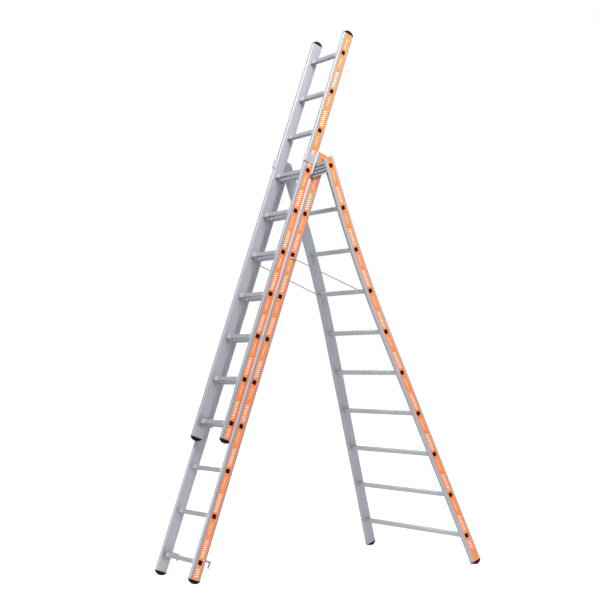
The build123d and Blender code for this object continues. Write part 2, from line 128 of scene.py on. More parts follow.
# Hinge bolts in the rear leg's frame
BOLT_ACROSS = 236 * MM
BOLT_HEAD_Y = -2 * MM
BOLT_HEAD_LENGTH = 6 * MM
BOLT_LEVELS = (-11 * MM, -30.5 * MM, -50 * MM)
BOLT_SIDES = 18
SOCKET_SIDES = 6

# Stays: points in a turn of a strand, and a ferrule's outline in shares of its length and stay radii
ROPE_POINTS_A_TURN = 10
STRAND_SIDES = 6
FERRULE_FROM_END = 8 * MM
FERRULE_OUTLINE = (
    (0.0, 1.06),
    (0.06, 1.3),
    (0.3, 1.36),
    (0.36, 1.22),
    (0.64, 1.22),
    (0.7, 1.36),
    (0.94, 1.3),
    (1.0, 1.06),
)

# Where each lamp stands, where it aims and how wide it is
LAMPS = {
    "key": ((3.1, -6.0, 12.4), (0.0, -0.2, 1.7), 4.0),
    "side": ((6.5, -0.6, 5.6), (0.0, 0.0, 2.2), 3.0),
    "back": ((-4.6, 5.4, 5.4), (0.0, 0.2, 1.7), 3.5),
    "top": ((2.0, -0.2, 3.9), (0.0, 0.1, 3.1), 0.8),
}

# The floor glows more with its distance from the ladder, up to plain white
FLOOR_REACH = 60.0
FLOOR_NEAR = 2.0
FLOOR_FAR = 6.5
FLOOR_NEAR_GLOW = 0.62
FLOOR_BOUNCE_REACH = 2.6
CAMERA_SENSOR = 36.0
CAMERA_CLIP = 300.0


def measured_rungs(section):
    """The plane of a section's rungs and their levels along its stiles, in its leg's frame."""
    to_leg = LEGS[section].inverted()
    points = []
    for number in RUNG_NUMBERS:
        low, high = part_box(f"{section}_rung_{number:02d}")
        points.append(to_leg @ ((Vector(low) + Vector(high)) / 2))
    return points[0].y, [point.z for point in points]


RUNGS = {section: measured_rungs(section) for section in BODIES}
HALF_WIDTHS = {section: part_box(f"{section}_right_stile")[1][0] for section in ("front", "extension")}


def half_width(section, level):
    """Half the width over a section's outer webs at a level, and the outward tilt of the web there."""
    if section != "rear":
        return HALF_WIDTHS[section], 0.0
    vertex = RUNGS["rear"][1][0] + BEND_ABOVE_FIRST_RUNG
    tangent = BEND_RADIUS * math.tan(FLARE / 2)
    start = vertex + tangent
    end = vertex - tangent * math.cos(FLARE)
    if level >= start:
        return REAR_HALF_WIDTH, 0.0
    if level > end:
        drop = start - level
        spread = BEND_RADIUS - math.sqrt(BEND_RADIUS**2 - drop**2)
        return REAR_HALF_WIDTH + spread, math.asin(drop / BEND_RADIUS)
    return REAR_HALF_WIDTH + (vertex - level) * math.tan(FLARE), FLARE


def web_place(section, side, level, depth):
    """A place on an outer web, sunk by a depth: x points out of the web and z up along the stile."""
    plane = RUNGS[section][0]
    half, tilt = half_width(section, level)
    across = half - depth / math.cos(tilt)
    turn = Matrix.Rotation(-tilt, 4, "Y")
    if SIDES[side] > 0:
        return LEGS[section] @ Matrix.Translation((across, plane, level)) @ turn
    about = Matrix.Rotation(math.pi, 4, "Z")
    return LEGS[section] @ about @ Matrix.Translation((across, -plane, level)) @ turn


class LadderSizes(PropertyGroup):
    """Sizes of the pieces that are modelled here."""

    plug_side: FloatProperty(
        name="Plug side", description="Width of a rung plug's head", default=28 * MM, unit="LENGTH"
    )
    plug_head: FloatProperty(
        name="Plug head", description="Height of a plug over the label band", default=0.9 * MM, unit="LENGTH"
    )
    plug_rim: FloatProperty(
        name="Plug rim", description="Width of the rim round a plug's dish", default=3.2 * MM, unit="LENGTH"
    )
    bar_length: FloatProperty(
        name="Bar length", description="Length of a printed bar", default=21 * MM, unit="LENGTH"
    )
    bar_width: FloatProperty(
        name="Bar width", description="Width of a printed bar", default=5 * MM, unit="LENGTH"
    )
    bar_step: FloatProperty(
        name="Bar step", description="From one printed bar to the next", default=14 * MM, unit="LENGTH"
    )
    tick_side: FloatProperty(
        name="Tick side", description="Side of a small printed tick", default=5 * MM, unit="LENGTH"
    )
    tick_step: FloatProperty(
        name="Tick step", description="From one printed tick to the next", default=9 * MM, unit="LENGTH"
    )
    print_thick: FloatProperty(
        name="Print", description="Thickness of the printed marks", default=0.12 * MM, unit="LENGTH"
    )
    bent_print_thick: FloatProperty(
        name="Bent print", description="Thickness on the bent stiles", default=0.45 * MM, unit="LENGTH"
    )
    cap_overhang: FloatProperty(
        name="Cap overhang", description="How far a cap passes its stile", default=0.95 * MM, unit="LENGTH"
    )
    cap_crown: FloatProperty(
        name="Cap crown", description="Height of a cap's dome", default=22.95 * MM, unit="LENGTH"
    )
    tread_depth: FloatProperty(
        name="Tread depth", description="Depth of a groove in a dome", default=1.1 * MM, unit="LENGTH"
    )
    tread_count: IntProperty(name="Tread grooves", description="Grooves across a cap's dome", default=9)
    rope_diameter: FloatProperty(
        name="Stay diameter", description="Over a stay's strands", default=6.4 * MM, unit="LENGTH"
    )
    rope_lay: FloatProperty(
        name="Stay lay", description="Length of a turn of the strands", default=38 * MM, unit="LENGTH"
    )
    rope_strands: IntProperty(name="Stay strands", description="Strands in a stay", default=6)
    ferrule_length: FloatProperty(
        name="Ferrule", description="Length of a stay's end sleeve", default=16 * MM, unit="LENGTH"
    )
    bolt_head: FloatProperty(
        name="Bolt head", description="Diameter of a hinge bolt's head", default=5.8 * MM, unit="LENGTH"
    )


class LadderFinishes(PropertyGroup):
    """Colours of the finishes."""

    aluminium: FloatVectorProperty(
        name="Aluminium", description="Extruded stiles", default=(0.352, 0.362, 0.398), subtype="COLOR"
    )
    # The same drawn tube has two colours: the front and extension rungs get a darker copy as painted shade
    rung_aluminium: FloatVectorProperty(
        name="Rung aluminium", description="Drawn rung tubes", default=(0.265, 0.272, 0.301), subtype="COLOR"
    )
    rear_rung_aluminium: FloatVectorProperty(
        name="Rear rungs", description="Rear rung tubes", default=(0.33, 0.337, 0.369), subtype="COLOR"
    )
    bracket: FloatVectorProperty(
        name="Bracket", description="Guide brackets", default=(0.34, 0.347, 0.372), subtype="COLOR"
    )
    casting: FloatVectorProperty(
        name="Hinge casting", description="Hinge blocks", default=(0.22, 0.224, 0.236), subtype="COLOR"
    )
    zinc: FloatVectorProperty(
        name="Zinc plate", description="Hooks, rivets and pins", default=(0.30, 0.305, 0.32), subtype="COLOR"
    )
    bright_zinc: FloatVectorProperty(
        name="Bright zinc", description="Eyes and clamps", default=(0.62, 0.62, 0.63), subtype="COLOR"
    )
    wire: FloatVectorProperty(
        name="Stay wire", description="Strands of the stays", default=(0.26, 0.26, 0.255), subtype="COLOR"
    )
    label: FloatVectorProperty(
        name="Label film", description="Label strips", default=(1.0, 0.215, 0.045), subtype="COLOR"
    )
    printing: FloatVectorProperty(
        name="Label print", description="Marks on the labels", default=(0.92, 0.90, 0.87), subtype="COLOR"
    )
    rubber: FloatVectorProperty(
        name="Rubber", description="Feet and end caps", default=(0.004, 0.004, 0.005), subtype="COLOR"
    )
    plastic: FloatVectorProperty(
        name="Plastic", description="Rung plugs", default=(0.004, 0.004, 0.005), subtype="COLOR"
    )
    black_steel: FloatVectorProperty(
        name="Black steel", description="Hinge bolts", default=(0.01, 0.01, 0.011), subtype="COLOR"
    )
    floor: FloatVectorProperty(
        name="Floor", description="Pale studio floor", default=(0.40, 0.40, 0.405), subtype="COLOR"
    )


class LadderStudio(PropertyGroup):
    """Camera and light."""

    camera_place: FloatVectorProperty(
        name="Camera", description="Where it stands", default=(6.8097, -4.7904, 1.25), subtype="TRANSLATION"
    )
    camera_heading: FloatProperty(
        name="Heading", description="Turn round Z from +X", default=math.radians(145.166), subtype="ANGLE"
    )
    camera_pitch: FloatProperty(
        name="Pitch", description="Upward tilt of the view", default=math.radians(2.723), subtype="ANGLE"
    )
    camera_lens: FloatProperty(
        name="Lens", description="Focal length", default=77.365, subtype="DISTANCE_CAMERA"
    )
    camera_rise: FloatProperty(
        name="Lens shift", description="Upward shift of the view, in frame widths", default=0.015
    )
    sky_light: FloatProperty(name="Sky", description="Strength of the even light", default=0.27)
    key_light: FloatProperty(
        name="Key", description="Power of the lamp above the front", default=2300.0, unit="POWER"
    )
    side_light: FloatProperty(
        name="Side", description="Power of the lamp at the side", default=30.0, unit="POWER"
    )
    back_light: FloatProperty(
        name="Back", description="Power of the lamp behind", default=330.0, unit="POWER"
    )
    top_light: FloatProperty(
        name="Top", description="Power of the lamp beside the top", default=52.0, unit="POWER"
    )
    floor_bounce: FloatProperty(
        name="Floor bounce", description="Light that the floor near the ladder sends up", default=1.2
    )


def sizes():
    """The sizes in use."""
    return bpy.context.scene.ladder_sizes


def finishes():
    """The finishes in use."""
    return bpy.context.scene.ladder_finishes


def studio():
    """The studio settings in use."""
    return bpy.context.scene.ladder_studio


def add_node(tree, kind, values=None, **settings):
    """A node with its settings and the values of its named sockets."""
    node = tree.nodes.new(kind)
    for name, value in settings.items():
        setattr(node, name, value)
    for name, value in (values or {}).items():
        node.inputs[name].default_value = value
    return node


def start_material(name, colour, metallic, roughness):
    """A material with a Principled shader, its tree and the shader."""
    material = bpy.data.materials.new(name)
    material.use_nodes = True
    shader = material.node_tree.nodes["Principled BSDF"]
    shader.inputs["Base Color"].default_value = (*colour, 1.0)
    shader.inputs["Metallic"].default_value = metallic
    shader.inputs["Roughness"].default_value = roughness
    material.diffuse_color = (*colour, 1.0)
    return material, material.node_tree, shader


def ranged(tree, source, low, high):
    """A value from 0 to 1 spread between two limits."""
    node = add_node(tree, "ShaderNodeMapRange", {"To Min": low, "To Max": high})
    tree.links.new(source, node.inputs["Value"])
    return node.outputs["Result"]


def tinted(tree, source, colour, low, high):
    """A colour made darker or lighter by a value from 0 to 1."""
    mix = add_node(tree, "ShaderNodeMix", data_type="RGBA")
    mix.inputs["A"].default_value = (*(channel * low for channel in colour), 1.0)
    mix.inputs["B"].default_value = (*(min(1.0, channel * high) for channel in colour), 1.0)
    tree.links.new(source, mix.inputs["Factor"])
    return mix.outputs["Result"]


def bumped(tree, shader, source, strength, distance):
    """Bumps a shader by a height."""
    bump = add_node(tree, "ShaderNodeBump", {"Strength": strength, "Distance": distance})
    tree.links.new(source, bump.inputs["Height"])
    tree.links.new(bump.outputs["Normal"], shader.inputs["Normal"])


def object_place(tree, turn=(0, 0, 0), scale=(1, 1, 1)):
    """Object coordinates, turned and scaled."""
    coordinates = add_node(tree, "ShaderNodeTexCoord")
    mapping = add_node(tree, "ShaderNodeMapping", {"Rotation": turn, "Scale": scale})
    tree.links.new(coordinates.outputs["Object"], mapping.inputs["Vector"])
    return mapping.outputs["Vector"]


def noise(tree, vector, scale, detail):
    """A noise texture's value."""
    node = add_node(tree, "ShaderNodeTexNoise", {"Scale": scale, "Detail": detail, "Roughness": 0.55})
    tree.links.new(vector, node.inputs["Vector"])
    return node.outputs["Fac"]


def across_ladder(tree):
    """The distance from the ladder's middle plane."""
    parts = add_node(tree, "ShaderNodeSeparateXYZ")
    tree.links.new(object_place(tree), parts.inputs["Vector"])
    across = add_node(tree, "ShaderNodeMath", operation="ABSOLUTE")
    tree.links.new(parts.outputs["X"], across.inputs[0])
    return across.outputs["Value"]


def shaded(tree, tone, shade):
    """A colour multiplied by a shade."""
    mix = add_node(tree, "ShaderNodeMix", data_type="RGBA", blend_type="MULTIPLY")
    mix.inputs["Factor"].default_value = 1.0
    tree.links.new(tone, mix.inputs["A"])
    tree.links.new(shade, mix.inputs["B"])
    return mix.outputs["Result"]


def collar_painted_highlight(tree, stile_face):
    """1 along a rung, and more in a band on its two pressed collars, as a painted highlight."""
    offset = add_node(tree, "ShaderNodeMath", operation="SUBTRACT")
    offset.inputs[1].default_value = stile_face - COLLAR_PAINTED_HIGHLIGHT_FROM_STILE
    tree.links.new(across_ladder(tree), offset.inputs[0])
    away = add_node(tree, "ShaderNodeMath", operation="ABSOLUTE")
    tree.links.new(offset.outputs["Value"], away.inputs[0])
    limits = {"From Min": 0.0, "From Max": COLLAR_PAINTED_HIGHLIGHT_REACH, "To Min": COLLAR_PAINTED_HIGHLIGHT, "To Max": 1.0}
    shine = add_node(tree, "ShaderNodeMapRange", limits, interpolation_type="SMOOTHSTEP")
    tree.links.new(away.outputs["Value"], shine.inputs["Value"])
    return shine.outputs["Result"]


def face_normal(tree, axis):
    """One part of the normal of a face, in the piece's own frame."""
    coordinates = add_node(tree, "ShaderNodeTexCoord")
    parts = add_node(tree, "ShaderNodeSeparateXYZ")
    tree.links.new(coordinates.outputs["Normal"], parts.inputs["Vector"])
    return parts.outputs[axis]


def facing_shade(tree, facing, shade, way=1):
    """1 on most faces, and a shade on those that face one way."""
    limits = {"From Min": 0.6 * way, "From Max": 0.9 * way, "To Min": 1.0, "To Max": shade}
    node = add_node(tree, "ShaderNodeMapRange", limits)
    tree.links.new(facing, node.inputs["Value"])
    return node.outputs["Result"]


def upper_face_painted_shade(tree):
    """1 on a rung's sides, and painted shade on its upper face."""
    return facing_shade(tree, face_normal(tree, "Z"), UPPER_FACE_PAINTED_SHADE)


def forward_painted_highlight(tree):
    """1 on most faces, and a painted highlight on those that face forward."""
    return facing_shade(tree, face_normal(tree, "Y"), FORWARD_PAINTED_HIGHLIGHT, way=-1)


def outer_face_painted_shade(tree):
    """1 on a stile's inner, front and rear faces, and painted shade on its outer face."""
    parts = add_node(tree, "ShaderNodeSeparateXYZ")
    tree.links.new(object_place(tree), parts.inputs["Vector"])
    side = add_node(tree, "ShaderNodeMath", operation="SIGN")
    tree.links.new(parts.outputs["X"], side.inputs[0])
    outward = add_node(tree, "ShaderNodeMath", operation="MULTIPLY")
    tree.links.new(face_normal(tree, "X"), outward.inputs[0])
    tree.links.new(side.outputs["Value"], outward.inputs[1])
    return facing_shade(tree, outward.outputs["Value"], OUTER_FACE_PAINTED_SHADE)


def shade_base(material, shade):
    """Multiplies a material's colour by a shade."""
    tree = material.node_tree
    base = tree.nodes["Principled BSDF"].inputs["Base Color"]
    tree.links.new(shaded(tree, base.links[0].from_socket, shade), base)


def extruded_metal(name, colour, turn, along):
    """Mill-finish aluminium with fine draw lines along one direction and a faint cloudiness."""
    roughness = 0.42
    material, tree, shader = start_material(name, colour, 0.28, roughness)
    fine = 1100.0
    stretch = tuple(1.0 if axis == along else fine for axis in "XYZ")
    lines = noise(tree, object_place(tree, turn, stretch), scale=1.0, detail=2.0)
    clouds = noise(tree, object_place(tree, turn), scale=5.0, detail=3.0)
    both = add_node(tree, "ShaderNodeMath", operation="ADD", use_clamp=True)
    tree.links.new(ranged(tree, lines, low=0.0, high=0.5), both.inputs[0])
    tree.links.new(ranged(tree, clouds, low=0.0, high=0.5), both.inputs[1])
    uneven = both.outputs["Value"]
    tree.links.new(tinted(tree, uneven, colour, low=0.86, high=1.14), shader.inputs["Base Color"])
    dullness = ranged(tree, uneven, low=roughness - 0.09, high=roughness + 0.09)
    tree.links.new(dullness, shader.inputs["Roughness"])
    bumped(tree, shader, lines, strength=0.12, distance=0.0002)
    return material


def rung_metal(name, colour, stile_face):
    """Drawn tube, with a painted highlight on its collars by the given stile face, or painted shade on its
    upper faces without one.
    """
    material = extruded_metal(name, colour, (0, 0, 0), "X")
    tree = material.node_tree
    shade_base(material, upper_face_painted_shade(tree) if stile_face is None else collar_painted_highlight(tree, stile_face))
    return material


def cast_metal(name, colour):
    """Sand-textured casting, with painted shade that darkens its slots toward their floor."""
    material, tree, shader = start_material(name, colour, metallic=0.3, roughness=0.48)
    grit = noise(tree, object_place(tree), scale=900.0, detail=4.0)
    stains = noise(tree, object_place(tree), scale=28.0, detail=3.0)
    # Painted shade: the slots get darker toward their floor
    limits = {"From Min": CASTING_RECESS, "From Max": CASTING_FACE, "To Min": 0.4, "To Max": 1.0}
    depth = add_node(tree, "ShaderNodeMapRange", limits)
    tree.links.new(across_ladder(tree), depth.inputs["Value"])
    tone = shaded(tree, tinted(tree, stains, colour, low=0.85, high=1.2), depth.outputs["Result"])
    tree.links.new(tone, shader.inputs["Base Color"])
    tree.links.new(ranged(tree, grit, low=0.38, high=0.6), shader.inputs["Roughness"])
    bumped(tree, shader, grit, strength=0.3, distance=0.0004)
    return material


def plated_metal(name, colour, metallic, roughness):
    """Zinc plate with the spangle of small crystals."""
    material, tree, shader = start_material(name, colour, metallic, roughness)
    cells = add_node(tree, "ShaderNodeTexVoronoi", {"Scale": 420.0})
    tree.links.new(object_place(tree), cells.inputs["Vector"])
    clouds = noise(tree, object_place(tree), scale=60.0, detail=3.0)
    spangle = add_node(tree, "ShaderNodeSeparateColor")
    tree.links.new(cells.outputs["Color"], spangle.inputs["Color"])
    tone = tinted(tree, spangle.outputs["Red"], colour, low=0.85, high=1.15)
    tree.links.new(tone, shader.inputs["Base Color"])
    dullness = ranged(tree, clouds, low=roughness - 0.08, high=roughness + 0.12)
    tree.links.new(dullness, shader.inputs["Roughness"])
    bumped(tree, shader, clouds, strength=0.08, distance=0.0003)
    return material


def black_moulding(name, colour, roughness):
    """Matt black moulding with a fine grain and a little dust."""
    material, tree, shader = start_material(name, colour, 0.0, roughness)
    shader.inputs["Specular IOR Level"].default_value = 0.1
    grain = noise(tree, object_place(tree), scale=1500.0, detail=3.0)
    dust = noise(tree, object_place(tree), scale=45.0, detail=4.0)
    tree.links.new(tinted(tree, dust, colour, low=0.6, high=1.9), shader.inputs["Base Color"])
    dullness = ranged(tree, grain, low=roughness - 0.12, high=roughness + 0.12)
    tree.links.new(dullness, shader.inputs["Roughness"])
    bumped(tree, shader, grain, strength=0.25, distance=0.0003)
    return material


def label_film(name, colour):
    """Satin printed film with a soft unevenness of ink."""
    material, tree, shader = start_material(name, colour, metallic=0.0, roughness=0.38)
    ink = noise(tree, object_place(tree), scale=14.0, detail=4.0)
    grain = noise(tree, object_place(tree), scale=2200.0, detail=2.0)
    tree.links.new(tinted(tree, ink, colour, low=0.92, high=1.08), shader.inputs["Base Color"])
    tree.links.new(ranged(tree, grain, low=0.32, high=0.46), shader.inputs["Roughness"])
    bumped(tree, shader, grain, strength=0.06, distance=0.0001)
    return material


def printed_ink(name, colour):
    """White print, a little worn."""
    material, tree, shader = start_material(name, colour, metallic=0.0, roughness=0.42)
    wear = noise(tree, object_place(tree), scale=260.0, detail=5.0)
    tree.links.new(tinted(tree, wear, colour, low=0.88, high=1.06), shader.inputs["Base Color"])
    tree.links.new(ranged(tree, wear, low=0.34, high=0.5), shader.inputs["Roughness"])
    bumped(tree, shader, wear, strength=0.05, distance=0.0001)
    return material


def paint_nodes(material, *nodes):
    """Gives carried-over nodes their finish."""
    for node in nodes:
        mesh = frame["nodes"][node].data
        mesh.materials.clear()
        mesh.materials.append(material)


def new_piece(name, mesh, material=None):
    """An object in the scene for a mesh."""
    piece = bpy.data.objects.new(name, mesh)
    bpy.context.scene.collection.objects.link(piece)
    if material is not None:
        mesh.materials.append(material)
    return piece


def settle(piece, body, slot, *nodes):
    """Makes a piece ride on a body, in the place of nodes; the slot is not used."""
    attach(piece, body)
    if nodes:
        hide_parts(*nodes)


def mesh_from(build, name):
    """A mesh from a bmesh, smooth up to a crease angle."""
    bmesh.ops.recalc_face_normals(build, faces=build.faces)
    mesh = bpy.data.meshes.new(name)
    build.to_mesh(mesh)
    build.free()
    mesh.polygons.foreach_set("use_smooth", [True] * len(mesh.polygons))
    mesh.set_sharp_from_angle(angle=math.radians(35))
    return mesh


def input_sockets(tree, kind, *names):
    """Named inputs of a node tree."""
    for name in names:
        tree.interface.new_socket(name, in_out="INPUT", socket_type=kind)


def set_inputs(modifier, values):
    """Sets a modifier's named inputs by their identifiers."""
    for item in modifier.node_group.interface.items_tree:
        if item.item_type == "SOCKET" and item.in_out == "INPUT" and item.name in values:
            modifier[item.identifier] = values[item.name]


def made_plain(piece):
    """Turns a piece's modifiers into plain mesh."""
    depsgraph = bpy.context.evaluated_depsgraph_get()
    mesh = bpy.data.meshes.new_from_object(piece.evaluated_get(depsgraph))
    piece.modifiers.clear()
    piece.data = mesh
    mesh.name = piece.name


def copies_tree():
    """A node tree that sets a copy of a piece at each place, turned as the place says."""
    name = "set_out_copies"
    if name in bpy.data.node_groups:
        return bpy.data.node_groups[name]
    tree = bpy.data.node_groups.new(name, "GeometryNodeTree")
    input_sockets(tree, "NodeSocketGeometry", "Places")
    input_sockets(tree, "NodeSocketObject", "Piece")
    input_sockets(tree, "NodeSocketFloat", "Size")
    input_sockets(tree, "NodeSocketMaterial", "Finish")
    tree.interface.new_socket("Copies", in_out="OUTPUT", socket_type="NodeSocketGeometry")
    given = add_node(tree, "NodeGroupInput")
    points = add_node(tree, "GeometryNodeMeshToPoints")
    source = add_node(tree, "GeometryNodeObjectInfo")
    turn = add_node(tree, "GeometryNodeInputNamedAttribute", {"Name": "turn"}, data_type="FLOAT_VECTOR")
    euler = add_node(tree, "FunctionNodeEulerToRotation")
    copies = add_node(tree, "GeometryNodeInstanceOnPoints")
    plain = add_node(tree, "GeometryNodeRealizeInstances")
    finish = add_node(tree, "GeometryNodeSetMaterial")
    result = add_node(tree, "NodeGroupOutput")
    link = tree.links.new
    link(given.outputs["Places"], points.inputs["Mesh"])
    link(given.outputs["Piece"], source.inputs["Object"])
    link(points.outputs["Points"], copies.inputs["Points"])
    link(source.outputs["Geometry"], copies.inputs["Instance"])
    link(turn.outputs["Attribute"], euler.inputs["Euler"])
    link(euler.outputs["Rotation"], copies.inputs["Rotation"])
    link(given.outputs["Size"], copies.inputs["Scale"])
    link(copies.outputs["Instances"], plain.inputs["Geometry"])
    link(plain.outputs["Geometry"], finish.inputs["Geometry"])
    link(given.outputs["Finish"], finish.inputs["Material"])
    link(finish.outputs["Geometry"], result.inputs["Copies"])
    return tree


def set_out(name, source_mesh, places, material):
    """One mesh of copies of a piece at given matrices."""
    source = bpy.data.objects.new(name + "_source", source_mesh)
    mesh = bpy.data.meshes.new(name)
    mesh.from_pydata([place.translation for place in places], [], [])
    turn = mesh.attributes.new("turn", "FLOAT_VECTOR", "POINT")
    for number, place in enumerate(places):
        turn.data[number].vector = place.to_euler("XYZ")
    piece = new_piece(name, mesh)
    modifier = piece.modifiers.new("copies", "NODES")
    modifier.node_group = copies_tree()
    set_inputs(modifier, {"Piece": source, "Size": 1.0, "Finish": material})
    made_plain(piece)
    bpy.data.objects.remove(source)
    return piece


def rounded_square(side, corner, steps=3):
    """Points of a rounded square about the origin, in order."""
    points = []
    inner = side / 2 - corner
    for number, (right, up) in enumerate(((1, 1), (-1, 1), (-1, -1), (1, -1))):
        centre = Vector((inner * right, inner * up))
        for step in range(steps + 1):
            angle = (number + step / steps) * math.pi / 2
            points.append(centre + Vector((math.cos(angle), math.sin(angle))) * corner)
    return points


def ring_skin(build, rings):
    """Faces between rings of points, with the first and last ring closed."""
    made = [[build.verts.new(point) for point in ring] for ring in rings]
    for low, high in zip(made, made[1:]):
        count = len(low)
        for number in range(count):
            after = (number + 1) % count
            build.faces.new((low[number], low[after], high[after], high[number]))
    build.faces.new(made[0])
    build.faces.new(made[-1])


def plug_mesh():
    """A plug's head: a rounded square with a bevelled rim, a dish and a raised square in the dish."""
    side = sizes().plug_side
    head = sizes().plug_head
    dish = side - 2 * sizes().plug_rim
    levels = (
        (side, 0.0),
        (side, head * 0.55),
        (side - head * 1.2, head),
        (dish, head),
        (dish - head, head * 0.35),
        (side * 0.44, head * 0.35),
        (side * 0.40, head * 0.8),
    )
    build = bmesh.new()
    rings = []
    for width, rise in levels:
        outline = rounded_square(width, width / 11)
        rings.append([Vector((rise, point.x, point.y)) for point in outline])
    ring_skin(build, rings)
    return mesh_from(build, "plug")


def bar_mesh(length, width, slant, thick):
    """A printed bar, leaning by a slant along the label."""
    outline = (
        (-length / 2, -width / 2 - slant),
        (length / 2, -width / 2 + slant),
        (length / 2, width / 2 + slant),
        (-length / 2, width / 2 - slant),
    )
    build = bmesh.new()
    ring_skin(build, [[Vector((rise, y, z)) for y, z in outline] for rise in (0.0, thick)])
    return mesh_from(build, "bar")


def bolt_ring(reach, rise, corners):
    """A round ring, or one with corners, of as many points as a bolt has sides."""
    ring = []
    for number in range(BOLT_SIDES):
        turn = 2 * math.pi * number / BOLT_SIDES
        local = reach
        if corners:
            part = turn % (2 * math.pi / corners) - math.pi / corners
            local = reach * math.cos(math.pi / corners) / math.cos(part)
        ring.append(Vector((local * math.cos(turn), local * math.sin(turn), rise)))
    return ring


def bolt_mesh():
    """A socket-head bolt along z, with its head's face at z = 0 and a six-sided socket in it."""
    radius = sizes().bolt_head / 2
    socket = radius * 0.55
    build = bmesh.new()
    rings = [
        bolt_ring(radius, -BOLT_HEAD_LENGTH, 0),
        bolt_ring(radius, -radius * 0.14, 0),
        bolt_ring(radius * 0.87, 0.0, 0),
        bolt_ring(socket, 0.0, SOCKET_SIDES),
        bolt_ring(socket, -BOLT_HEAD_LENGTH / 2, SOCKET_SIDES),
    ]
    ring_skin(build, rings)
    return mesh_from(build, "bolt")


def dome_outline():
    """A cap's outline from front to back, with treads cut into its dome."""
    size = sizes()
    half = STILE_DEPTH / 2 + size.cap_overhang
    radius = (half**2 + size.cap_crown**2) / (2 * size.cap_crown)
    reach = math.asin(half / radius)
    centre = radius - size.cap_crown
    cells = 2 * size.tread_count + 1
    points = [(-half, 0.0)]
    for cell in range(cells):
        groove = cell % 2
        local = radius - groove * size.tread_depth
        for part in (0.12, 0.88) if groove else (0.06, 0.5, 0.94):
            angle = -reach + 2 * reach * (cell + part) / cells
            points.append((local * math.sin(angle), centre - local * math.cos(angle)))
    points.append((half, 0.0))
    return points


def cap_rings():
    """Rings of a cap across the stile, drawn in at both sides to round its edges."""
    outline = dome_outline()
    crown = sizes().cap_crown
    outside = -STILE_WIDTH / 2 - sizes().cap_overhang
    steps = [(outside + share * CAP_SOFT, draw) for share, draw in CAP_SIDE]
    steps += [(-across, draw) for across, draw in reversed(steps)]
    rings = []
    for across, draw in steps:
        ring = []
        for y, z in outline:
            narrow = 1 - CAP_DRAW_DEPTH * draw
            low = 1 + CAP_DRAW_CROWN * draw * z / crown
            ring.append(Vector((across, y * narrow, z * low)))
        rings.append(ring)
    return rings


def cap_piece(name, places, material, stands):
    """Caps of one body as one mesh, cut flat where they stand on the floor."""
    build = bmesh.new()
    rings = cap_rings()
    for place in places:
        ring_skin(build, [[place @ point for point in ring] for ring in rings])
    if stands:
        every = build.verts[:] + build.edges[:] + build.faces[:]
        bmesh.ops.bisect_plane(build, geom=every, plane_co=(0, 0, 0), plane_no=(0, 0, -1), clear_outer=True)
        open_edges = [edge for edge in build.edges if edge.is_boundary]
        bmesh.ops.holes_fill(build, edges=open_edges, sides=0)
    return new_piece(name, mesh_from(build, name), material)


def low_ends(section):
    """The low ends of a section's stiles, with the middle of the stile as origin and z along it."""
    level = RUNGS[section][1][0] - STILE_BELOW_FIRST_RUNG[section]
    return [web_place(section, side, level, STILE_WIDTH / 2) for side in SIDES]


def high_ends(section):
    """The high ends of a section's stiles, turned over."""
    level = RUNGS[section][1][-1] + STILE_ABOVE_LAST_RUNG
    over = Matrix.Rotation(math.pi, 4, "X")
    return [web_place(section, side, level, STILE_WIDTH / 2) @ over for side in SIDES]


